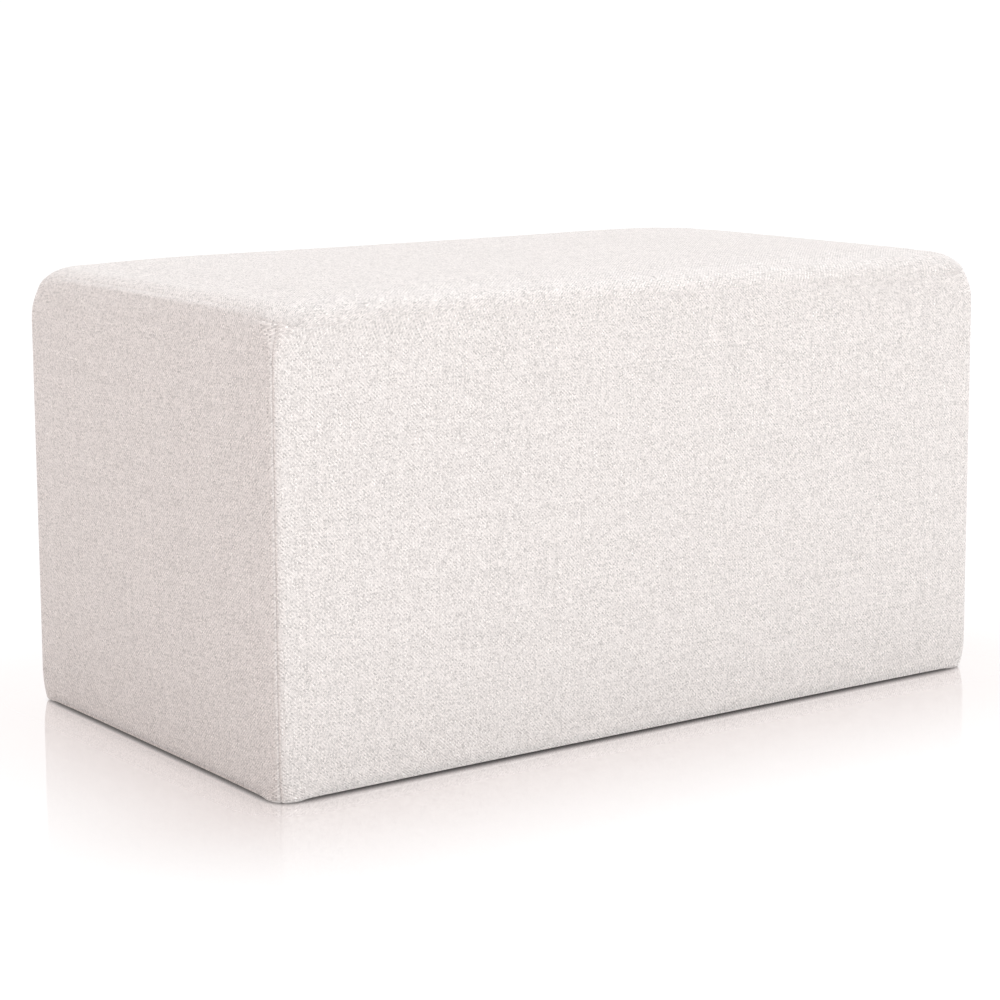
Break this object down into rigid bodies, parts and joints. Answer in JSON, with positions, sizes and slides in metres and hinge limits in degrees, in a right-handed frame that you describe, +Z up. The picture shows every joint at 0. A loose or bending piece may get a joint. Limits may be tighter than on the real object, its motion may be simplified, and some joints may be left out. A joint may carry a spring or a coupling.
{
  "type": "rectangular pouf",
  "caption": "Rectangular upholstered pouf: filled block in woven cloth with a crowned, rolled-edge top panel, upright corner seams and a dark base panel.",
  "frame": {"origin": "on the floor, under the middle of the pouf", "axes": "+X along the length, +Y along the depth towards the back, +Z up"},
  "size_m": [0.9216, 0.5156, 0.483],
  "materials": {
    "woven_cloth": "matt heathered twill",
    "base_cloth": "matt non-woven cloth"
  },
  "bodies": {
    "root": {"upholstered_body": "woven_cloth", "base_panel": "base_cloth"}
  },
  "joints": []
}
